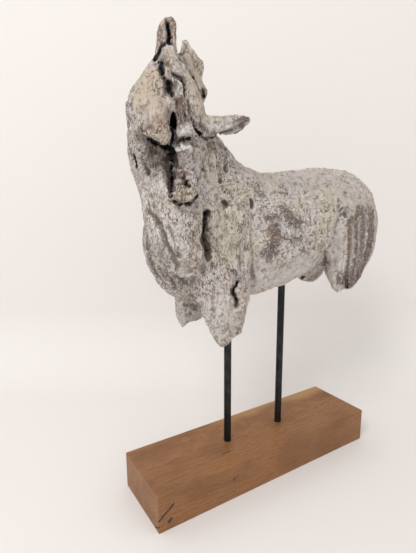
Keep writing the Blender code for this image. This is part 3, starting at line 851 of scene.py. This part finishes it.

# %% Calm patches and painted shade
CALM_PATCHES = [
    (16, 0.8, [(188, 56), (196, 70), (198, 92)]),
    (12, 0.8, [(190, 80), (196, 104)]),
    (10, 0.5, [(206, 121), (236, 124)]),
    (18, 0.5, [(206, 146), (212, 176)]),
    (24, 1.0, [(148, 70), (144, 86), (150, 106)]),
    (34, 1.0, [(305, 172), (330, 178), (350, 188), (366, 205)]),
    (26, 0.9, [(262, 180), (284, 180), (306, 186)]),
    (30, 1.0, [(262, 280), (285, 278), (306, 264)]),
    (20, 0.8, [(337, 236), (335, 276)]),
    (26, 0.7, [(220, 300), (226, 330)]),
    (24, 0.6, [(226, 220), (230, 250)]),
]
# painted shade: darker where shade falls, on the top of the trunk and rump, the far stump and groin, beside
# the shoulder crease, under the jaw flap and below the throat
PAINTED_SHADE_PATCHES = [
    (34, 0.34, [(300, 174), (330, 180), (350, 190), (366, 205)]),
    (28, 0.42, [(252, 176), (280, 180), (310, 186)]),
    (12, 0.4, [(228, 148), (236, 160), (240, 172)]),
    (20, 0.16, [(270, 276), (290, 272), (306, 262)]),
    (10, 0.6, [(320, 250), (326, 262)]),
    (6, 0.5, [(142, 138), (147, 141)]),
    (30, 0.24, [(228, 190), (232, 215), (226, 245)]),
    (12, 0.25, [(156, 124), (161, 134)]),
    (10, 0.7, [(186, 283), (196, 281)]),
    (10, 0.8, [(324, 256), (324, 266)]),
    (9, 0.3, [(338, 232), (337, 252), (335, 272)]),
    (24, 0.14, [(148, 72), (146, 90), (152, 106)]),
    (8, 1.0, [(206, 215), (207, 232), (206, 246)]),
    (12, 0.6, [(210, 222), (211, 240), (210, 252)]),
    (10, 0.8, [(304, 282), (314, 277), (322, 270)]),
    (9, 0.8, [(166, 152), (167, 160)]),
    (12, 0.6, [(154, 148), (160, 154), (164, 162)]),
]

# %% Painted shade: black in deep cracks, hollows and under overhangs
BLACK_PATCHES = [
    (2.8, 1.0, MUZZLE_SPLIT_TOP),
    (4.4, 1.0, MUZZLE_SPLIT),
    (3.2, 1.0, MOUTH_CRACK),
    (3.6, 1.0, JAW_HOLLOW),
    (4.2, 1.0, JAW_SLOT),
    (2.2, 0.8, WEDGE_SHADE),
    (3.2, 0.8, BAR_SLIT),
    (6.0, 1.0, JAW_HOLE),
    (4.0, 1.0, THROAT_SLOT),
    (7.5, 1.1, THROAT),
    (3.6, 1.0, UNDER_FLAP),
    (2.8, 1.0, BLOCK_SLIT),
    (3.8, 1.0, EAR_ROOT),
    (2.2, 0.7, EAR_FOOT),
    (2.6, 0.9, EAR_PIT),
    (2.0, 1.0, THROAT_GROOVE),
    (2.6, 1.0, KNUCKLE_FOOT),
    (3.2, 0.7, KNUCKLE_CRACK),
    (3.6, 0.7, KNUCKLE_HOLLOW),
    (2.8, 1.0, CREASE_BLACK),
    (6.0, 0.42, CREASE_SHADOW),
    (3.2, 1.0, LEG_CRACK),
    (2.4, 1.0, NECK_SLIT),
    (3.2, 0.8, NECK_HOLE),
    (2.2, 0.9, THIGH_END),
    (3.4, 0.9, CREST_PIT),
    (4.0, 0.8, FAR_STUMP_HOLLOW),
    (2.6, 0.6, CREST_HOLLOW),
    (3.0, 0.6, CREST_FOOT),
    *[(1.4, 0.7, streak) for streak in BAR_STREAKS],
    (1.8, 0.62, BAR_GROOVE),
]

# %% Marking the patches on the skin
LAYERS = {"brown": BROWN_PATCHES, "pale": PALE_PATCHES, "warm": WARM_PATCHES, "green": GREEN_PATCHES,
          "tan": TAN_PATCHES, "calm": CALM_PATCHES, "shade": PAINTED_SHADE_PATCHES, "black": BLACK_PATCHES}
PATCH_FULLNESS = 0.8
tree = skin_tree()
for name, patches in LAYERS.items():
    total = np.zeros(len(points))
    for width, strength, picture_path in patches:
        near = nearness(points, cast_path(picture_path, tree), width * MM)
        total = np.maximum(total, strength * near ** PATCH_FULLNESS)
    mark(name, total)
    print(name, "patches", len(patches))

# %% [markdown]
# ## A lighter skin
# Carving needed a dense and even mesh. Now that it is done, most of its cells lie in calm places where
# they say nothing. Thinning merges the triangles that matter least first, and carries the numbers
# stored on the points along.

# %% Thinning
SKIN_TRIANGLES = 192000
print("skin triangles before", triangles(skin))
thin = skin.modifiers.new("thin", "DECIMATE")
thin.ratio = SKIN_TRIANGLES / triangles(skin)
applied(skin)
print("skin triangles after", triangles(skin))

# %% [markdown]
# ## Words for a finish
# Blender builds a material from nodes that are linked together. Written out one by one they are hard
# to read, so this small class gives the few that are needed here plain names: blotches, cells, a ramp,
# a mix, a bump. All of its patterns are placed on the object in millimetres, so a size in the recipe
# is a size on the wood.

# %% Words for a finish


class Finish:
    """A few words for building a node material."""

    def __init__(self, name):
        self.material = bpy.data.materials.new(name)
        self.material.use_nodes = True
        self.nodes = self.material.node_tree.nodes
        self.links = self.material.node_tree.links
        self.shader = self.nodes["Principled BSDF"]
        where = self.nodes.new("ShaderNodeTexCoord")
        self.place = self.scaled(where.outputs["Object"], (1 / MM, 1 / MM, 1 / MM))

    def node(self, kind, settings=None, **inputs):
        """Add a node, set it up and link or fill its inputs."""
        made = self.nodes.new(kind)
        for key, value in (settings or {}).items():
            setattr(made, key, value)
        for key, value in inputs.items():
            self.feed(made.inputs[key.replace("_", " ")], value)
        return made

    def feed(self, socket, value):
        """Link another node's output to a socket, or put a plain value there."""
        if isinstance(value, bpy.types.NodeSocket):
            self.links.new(value, socket)
        else:
            socket.default_value = value

    def scaled(self, vector, scale):
        """A place with each of its three numbers scaled."""
        made = self.nodes.new("ShaderNodeVectorMath")
        made.operation = "MULTIPLY"
        self.feed(made.inputs[0], vector)
        made.inputs[1].default_value = scale
        return made.outputs[0]

    def number(self, operation, *values, clamp=False):
        """Sums with numbers that differ from point to point."""
        made = self.nodes.new("ShaderNodeMath")
        made.operation = operation
        made.use_clamp = clamp
        for socket, value in zip(made.inputs, values):
            self.feed(socket, value)
        return made.outputs[0]

    def times(self, first, second):
        return self.number("MULTIPLY", first, second)

    def plus(self, first, second):
        return self.number("ADD", first, second)

    def minus(self, first, second, clamp=False):
        return self.number("SUBTRACT", first, second, clamp=clamp)

    def most(self, first, second):
        return self.number("MAXIMUM", first, second)

    def blotches(self, size, detail=3.0, rough=0.55, place=None, stretch=(1, 1, 1)):
        """Cloudy noise whose blotches are about size millimetres across."""
        at = self.scaled(place or self.place, tuple(1 / (size * s) for s in stretch))
        made = self.node("ShaderNodeTexNoise", Vector=at, Scale=1.0, Detail=detail, Roughness=rough)
        return made.outputs[0]

    def cells(self, size, feature="DISTANCE_TO_EDGE", place=None, stretch=(1, 1, 1)):
        """Cracked cells about size millimetres across."""
        at = self.scaled(place or self.place, tuple(1 / (size * s) for s in stretch))
        made = self.node("ShaderNodeTexVoronoi", {"feature": feature}, Vector=at, Scale=1.0)
        return made.outputs["Distance"]

    def ramp(self, value, low, high, start=0.0, end=1.0):
        """Turn a range of a value into a smooth step from start to end."""
        made = self.node("ShaderNodeMapRange", {"interpolation_type": "SMOOTHSTEP"}, Value=value)
        for socket, number in zip(list(made.inputs)[1:5], (low, high, start, end)):
            socket.default_value = number
        return made.outputs["Result"]

    def mix(self, share, first, second):
        """Blend two colours."""
        made = self.nodes.new("ShaderNodeMix")
        made.data_type = "RGBA"
        self.feed(made.inputs["Factor"], share)
        colours = [socket for socket in made.inputs if socket.type == "RGBA"]
        for socket, colour in zip(colours, (first, second)):
            self.feed(socket, colour if isinstance(colour, bpy.types.NodeSocket) else (*colour, 1))
        return [socket for socket in made.outputs if socket.type == "RGBA"][0]

    def layer(self, name):
        """A number that was stored on the skin."""
        return self.node("ShaderNodeAttribute", {"attribute_name": name}).outputs["Fac"]

    def bent(self, size, amount):
        """The place, pushed about by noise so that patterns on it wander."""
        at = self.scaled(self.place, (1 / size, 1 / size, 1 / size))
        wander = self.node("ShaderNodeTexNoise", Vector=at, Scale=1.0, Detail=2.0).outputs["Color"]
        shift = self.node("ShaderNodeVectorMath", {"operation": "MULTIPLY_ADD"})
        self.feed(shift.inputs[0], wander)
        shift.inputs[1].default_value = (amount, amount, amount)
        self.feed(shift.inputs[2], self.place)
        return shift.outputs[0]

    def bump(self, height, strength, distance):
        """Let the light fall as if the surface had this relief."""
        made = self.node("ShaderNodeBump", Height=height, Strength=strength, Distance=distance)
        return made.outputs["Normal"]


# %% [markdown]
# ## The coat of whitewash
# The real surface is dark brown timber under a chalky coat that has gone grey in one place and creamy
# in another. A photograph of such wood could be wrapped around the horse, but it would stretch on the
# folds. Noise in space doesn't. The coat comes first: its two greys, the cream in between, the chalk
# that lies thick on ridges, and the patches that were marked on the skin.

# %% Colours of the driftwood
TIMBER = (0.080, 0.044, 0.032)
TIMBER_RED = (0.180, 0.090, 0.070)
COAT_LILAC = (0.56, 0.505, 0.480)
COAT_OLIVE = (0.55, 0.490, 0.405)
COAT_CREAM = (0.63, 0.550, 0.435)
COAT_WHITE = (0.78, 0.750, 0.730)
FRESH_WHITE = (0.80, 0.78, 0.76)
OLD_GREEN = (0.150, 0.180, 0.140)
COAT_TAN = (0.52, 0.390, 0.295)
# the brown of the painted shade
PAINTED_SHADE_BROWN = (0.185, 0.145, 0.110)
# the black of the painted shade in deep cracks, hollows and under overhangs
BLACK_SHADE = (0.0045, 0.0035, 0.0040)
OLD_BLUE = (0.030, 0.044, 0.062)

# %% The coat
drift = Finish("whitewashed_driftwood")
wander = drift.bent(4.0, 3.0)
warm = drift.layer("warm")
brown = drift.layer("brown")
tone = drift.plus(drift.blotches(26, 4.0, 0.6), drift.times(warm, 0.22))
coat = drift.mix(drift.ramp(tone, 0.46, 0.64), COAT_LILAC, COAT_OLIVE)
creamy = drift.plus(drift.blotches(9.0, 3.0, 0.6), drift.times(warm, 0.12))
coat = drift.mix(drift.ramp(creamy, 0.52, 0.80), coat, COAT_CREAM)

# how thick the coat lies, from fibres, specks and the relief of the skin
fibre = drift.blotches(6.0, 5.0, 0.72, place=wander, stretch=(1, 1, 1.5))
speck = drift.blotches(3.0, 3.0, 0.65, place=wander)
thick = drift.plus(drift.times(fibre, 0.5), drift.times(speck, 0.5))
thick = drift.plus(thick, drift.times(drift.layer("narrow"), 0.12))
chalk = drift.ramp(thick, 0.46, 0.70)
muted = drift.times(drift.layer("calm"), 0.3)
chalk = drift.times(chalk, drift.minus(1.0, muted))
pale = drift.layer("pale")
chalk = drift.most(drift.times(chalk, 0.8), drift.times(pale, 0.85))
coat = drift.mix(chalk, coat, COAT_WHITE)
coat = drift.mix(drift.ramp(pale, 0.6, 1.1), coat, FRESH_WHITE)
coat = drift.mix(drift.times(drift.layer("tan"), 0.7), coat, COAT_TAN)
coat = drift.mix(drift.times(drift.layer("green"), 0.75), coat, OLD_GREEN)
print("nodes in the coat", len(drift.nodes))

# %% [markdown]
# ## Fibres and cracks
# Wood fibres break through the coat as short dark marks that follow the grain: up the neck, and along
# the back behind the shoulder. Cracks and pinholes lie between them. One noise for all would look like
# granite. Two that are drawn out in different directions, and blended at the shoulder, look like wood.

# %% Fibres
# millimetres along the plinth, and across it
SHOULDER_START, SHOULDER_END = -75.0, -45.0
MIDDLE_LINE, FAR_SIDE = 0.0, 40.0
apart = drift.node("ShaderNodeSeparateXYZ", Vector=drift.place)
behind = drift.ramp(apart.outputs["X"], SHOULDER_START, SHOULDER_END)
up_the_neck = drift.blotches(1.15, 3.0, 0.7, place=wander, stretch=(1, 1, 3.2))
along_the_back = drift.blotches(1.4, 3.0, 0.7, place=wander, stretch=(3.0, 1, 1))
hidden = drift.times(drift.ramp(apart.outputs["Y"], MIDDLE_LINE, FAR_SIDE), 0.7)
calm = drift.most(drift.layer("calm"), hidden)
flecks = drift.plus(drift.times(up_the_neck, drift.minus(1.0, behind)),
                      drift.times(along_the_back, behind))
sparse = drift.plus(drift.times(calm, 0.06), drift.times(warm, 0.02))
clusters = drift.blotches(7.0, 3.0, 0.6, stretch=(1, 1, 1.6))
sparse = drift.plus(sparse, drift.times(clusters, 0.40))
sparse = drift.plus(sparse, drift.ramp(behind, 0.0, 1.0, -0.012, 0.035))
dents = drift.ramp(drift.plus(flecks, sparse), 0.652, 0.626)

# %% Cracks and pinholes
worm = drift.ramp(drift.number("ABSOLUTE", drift.minus(fibre, 0.5)), 0.008, 0.026, 1.0, 0.0)
gaps = drift.plus(drift.blotches(9, 3.0, 0.6), drift.times(brown, 0.2))
gaps = drift.ramp(gaps, 0.52, 0.64)
worn = drift.most(drift.times(worm, gaps), dents)
holes = drift.ramp(drift.cells(8.0, "F1", place=wander), 0.09, 0.16, 1.0, 0.0)
worn = drift.most(worn, holes)
worn = drift.times(worn, drift.minus(1.0, drift.times(pale, 0.7)))
print("nodes with fibres and cracks", len(drift.nodes))

# %% [markdown]
# ## Bare wood and painted shade
# Where the coat is rubbed off, reddish brown timber shows, with pale scribbles of whitewash left in its
# grain. Painted shade darkens the wide hollows and the marked shade patches, and the deep cracks, holes
# and places under overhangs are painted black as shade, a little blue in places, with dark fibres added
# to it. Each is mixed over the one before it.

# %% Bare wood
bare = drift.blotches(4.5, 4.0, 0.75, place=wander, stretch=(1, 1, 1.8))
bare = drift.ramp(drift.plus(bare, drift.times(brown, 0.34)), 0.68, 0.78)
curl = drift.blotches(3.4, 2.0, 0.5, place=wander)
curl = drift.ramp(drift.number("ABSOLUTE", drift.minus(curl, 0.5)), 0.015, 0.040, 1.0, 0.0)
scribble = drift.most(drift.ramp(flecks, 0.54, 0.58), curl)
scribble = drift.most(drift.times(scribble, 0.8), drift.number("MINIMUM", pale, 0.85))
bare = drift.times(bare, drift.minus(1.0, scribble))
timber = drift.mix(drift.ramp(drift.blotches(12, 3.0), 0.42, 0.6), TIMBER, TIMBER_RED)
low = drift.ramp(drift.layer("narrow"), -0.80, -0.25, 1.0, 0.0)
worn = drift.most(worn, drift.times(low, 0.65))
worn = drift.most(worn, drift.times(bare, 0.95))
softer = drift.plus(drift.times(calm, 0.32), drift.times(behind, 0.08))
depth_of_mark = drift.minus(0.86, softer, clamp=True)
depth_of_mark = drift.most(depth_of_mark, drift.times(bare, 0.9))
surface = drift.mix(drift.times(worn, depth_of_mark), coat, timber)
print("nodes with bare wood", len(drift.nodes))

# %% Painted shade in the hollows, the shade patches and the cracks
# painted shade: the broad hollows are darkened towards the timber colour
wide_hollow_shade = drift.ramp(drift.layer("wide"), -4.5, -1.2, 1.0, 0.0)
surface = drift.mix(drift.times(wide_hollow_shade, 0.55), surface, TIMBER)
# painted shade from the marked shade patches
surface = drift.mix(drift.times(drift.layer("shade"), 0.65), surface, PAINTED_SHADE_BROWN)
# painted shade: black in deep cracks, hollows and under overhangs, a little blue in places; dark fibres add
# to it
black_shade_tone = drift.mix(drift.ramp(drift.blotches(5.0, 2.0), 0.50, 0.60), BLACK_SHADE, OLD_BLUE)
black_shade_and_fibres = drift.plus(drift.layer("black"), drift.times(drift.minus(fibre, 0.5), 1.2))
black_shade_and_fibres = drift.ramp(black_shade_and_fibres, 0.20, 0.75)
surface = drift.mix(drift.times(black_shade_and_fibres, 0.96), surface, black_shade_tone)

# %% Sheen and relief of the driftwood
drift.feed(drift.shader.inputs["Base Color"], surface)
drift.feed(drift.shader.inputs["Roughness"], drift.ramp(worn, 0.0, 1.0, 0.88, 0.62))
drift.feed(drift.shader.inputs["Specular IOR Level"], drift.ramp(black_shade_and_fibres, 0.0, 1.0, 0.22, 0.03))
relief = drift.minus(drift.times(thick, 2.4), drift.times(worn, 0.9))
RELIEF_DEPTH = 1.4 * MM
drift.feed(drift.shader.inputs["Normal"], drift.bump(relief, 1.0, RELIEF_DEPTH))
print("driftwood nodes", len(drift.nodes))

# %% Dressing the horse
skin.data.materials.clear()
skin.data.materials.append(drift.material)
for polygon in skin.data.polygons:
    polygon.use_smooth = True
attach(skin, "root")
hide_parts("horse_torso")

# %% [markdown]
# ## Oiled oak
# The plinth is cut along the log, so one set of growth rings gives wavy lines on the long faces and
# arcs on the end. A plank pattern laid on each face would break at the edges, while rings in space run
# through the block as they do in a real one. Slow noise lets the lines wander, short dark pores run
# with the grain, and the edge that lay under the bark is paler.

# %% Oak grain
OAK_DARK = (0.125, 0.048, 0.014)
OAK_MID = (0.255, 0.108, 0.034)
OAK_LIGHT = (0.38, 0.180, 0.062)
SAPWOOD = (0.47, 0.265, 0.100)
PITH = (0, 30.0, -30.0)
ALONG_THE_LOG = 0.07

oak = Finish("oiled_oak_grain")
swirl = oak.bent(24.0, 9.0)
rings_at = oak.scaled(swirl, (ALONG_THE_LOG, 1.0, 1.0))
pith = oak.node("ShaderNodeVectorMath", {"operation": "SUBTRACT"})
oak.feed(pith.inputs[0], rings_at)
pith.inputs[1].default_value = PITH
rings = oak.node("ShaderNodeTexWave", {"wave_type": "RINGS", "rings_direction": "X"},
                 Vector=pith.outputs[0], Scale=0.085, Distortion=1.6, Detail=3.0, Detail_Scale=0.5,
                 Detail_Roughness=0.6).outputs["Fac"]
streak = oak.blotches(1.5, 4.0, 0.65, place=swirl, stretch=(26, 1, 1))
cloud = oak.blotches(40, 4.0, 0.55, stretch=(2.0, 1, 1))
wood = oak.mix(oak.times(oak.ramp(rings, 0.2, 0.95), 0.26), OAK_MID, OAK_LIGHT)
wood = oak.mix(oak.times(oak.ramp(streak, 0.48, 0.66), 0.42), wood, OAK_DARK)
wood = oak.mix(oak.times(oak.ramp(cloud, 0.44, 0.64), 0.42), wood, OAK_DARK)
pores = oak.ramp(oak.blotches(0.8, 1.0, 0.5, place=swirl, stretch=(10, 1, 1)), 0.60, 0.70)
wood = oak.mix(oak.times(pores, 0.55), wood, OAK_DARK)

# %% Pale sapwood along the far top edge
in_oak = oak.node("ShaderNodeSeparateXYZ", Vector=oak.place)
edge_run = oak.plus(in_oak.outputs["Y"], oak.times(oak.blotches(60, 2.0), 26.0))
sap = oak.times(oak.ramp(edge_run, 40.0, 58.0), oak.ramp(in_oak.outputs["Z"], 30.0, 49.0))
sap = oak.times(sap, oak.ramp(in_oak.outputs["X"], -90.0, 60.0))
wood = oak.mix(oak.times(sap, 0.75), wood, SAPWOOD)

# %% [markdown]
# ## Cracks in the oak
# A drying crack runs in from the front corner, with a split and a small hole beside it, and a few
# short checks lie on the faces. They are thinner than a millimetre or two, so they are drawn by the
# material as lines in space, and a bump sinks them a little. Cutting them into the mesh would cost many
# faces for the same look.

# %% A line in space


def near_line(finish, start, end, width):
    """1 on a straight line in space, falling to 0 at its width; all in millimetres."""
    start, end = Vector(start), Vector(end)
    run = end - start
    offset = finish.node("ShaderNodeVectorMath", {"operation": "SUBTRACT"})
    finish.feed(offset.inputs[0], finish.place)
    offset.inputs[1].default_value = start
    along = finish.node("ShaderNodeVectorMath", {"operation": "DOT_PRODUCT"})
    finish.feed(along.inputs[0], offset.outputs[0])
    along.inputs[1].default_value = run / run.length_squared
    share = finish.most(finish.number("MINIMUM", along.outputs["Value"], 1.0), 0.0)
    foot = finish.node("ShaderNodeVectorMath", {"operation": "SCALE"})
    foot.inputs[0].default_value = run
    finish.feed(foot.inputs["Scale"], share)
    gap = finish.node("ShaderNodeVectorMath", {"operation": "DISTANCE"})
    finish.feed(gap.inputs[0], offset.outputs[0])
    finish.feed(gap.inputs[1], foot.outputs[0])
    wobble = finish.times(finish.blotches(3.0, 2.0), width * 0.9)
    frayed = finish.plus(gap.outputs["Value"], wobble)
    return finish.ramp(frayed, width * 0.7, width * 1.25, 1.0, 0.0)


# %% Cracks and checks
CORNER_CRACK = ((-180, -50, 17), (-160, -50, 32), 2.2)
CORNER_SPLIT = ((-180, -50, 9), (-180, -41, 3), 2.0)
SMALL_HOLE = ((-167, -50, 10.5), (-163.5, -50, 13.5), 3.2)
FACE_MARKS = (((-72, -50, 28), (-70, -50, 30), 1.7), ((-67, -50, 31), (-65, -50, 32), 1.3),
              ((-71, -22, 50), (-60, -24, 50), 1.2), ((-76, -16, 50), (-70, -17, 50), 1.0))
RIGHT_CRACK = ((95, -42, 50), (160, -50, 47), 0.8)
CRACK_DARK = (0.012, 0.007, 0.005)
marks = None
for start, end, width in (CORNER_CRACK, CORNER_SPLIT, SMALL_HOLE, *FACE_MARKS, RIGHT_CRACK):
    line = near_line(oak, start, end, width)
    marks = oak.most(marks, line) if marks else line
wood = oak.mix(marks, wood, CRACK_DARK)

# %% Sheen and relief of the oak
oak.feed(oak.shader.inputs["Base Color"], wood)
oak.feed(oak.shader.inputs["Roughness"], oak.ramp(streak, 0.3, 0.7, 0.42, 0.58))
grain = oak.minus(oak.times(streak, 0.4), oak.times(pores, 0.5))
grain = oak.minus(grain, oak.times(marks, 3.0))
GRAIN_DEPTH = 0.35 * MM
oak.feed(oak.shader.inputs["Normal"], oak.bump(grain, 0.5, GRAIN_DEPTH))
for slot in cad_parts["plinth"].material_slots:
    slot.material = oak.material
print("oak nodes", len(oak.nodes))

# %% [markdown]
# ## Blackened steel
# The rods are plain drawn bar with a thin black scale. It shines a little where it was handled, and it
# has faint marks from the drawing die along its length. Plain black paint would be simpler, but it
# wouldn't catch the light in a long soft streak as metal under scale does.

# %% Blackened steel
SCALE_DARK = (0.020, 0.021, 0.022)
SCALE_WORN = (0.085, 0.083, 0.080)

steel = Finish("blackened_steel_scale")
drawn = steel.blotches(1.3, 3.0, 0.6, stretch=(1, 1, 40))
rubbed = steel.ramp(steel.blotches(18, 4.0, 0.65), 0.45, 0.65)
steel.feed(steel.shader.inputs["Base Color"],
           steel.mix(steel.times(rubbed, 0.3), SCALE_DARK, SCALE_WORN))
steel.shader.inputs["Metallic"].default_value = 0.85
steel.feed(steel.shader.inputs["Roughness"], steel.ramp(drawn, 0.3, 0.7, 0.34, 0.52))
DIE_MARK_DEPTH = 0.1 * MM
steel.feed(steel.shader.inputs["Normal"], steel.bump(drawn, 0.25, DIE_MARK_DEPTH))
for name in ("front_rod", "rear_rod"):
    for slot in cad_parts[name].material_slots:
        slot.material = steel.material
print("steel nodes", len(steel.nodes))
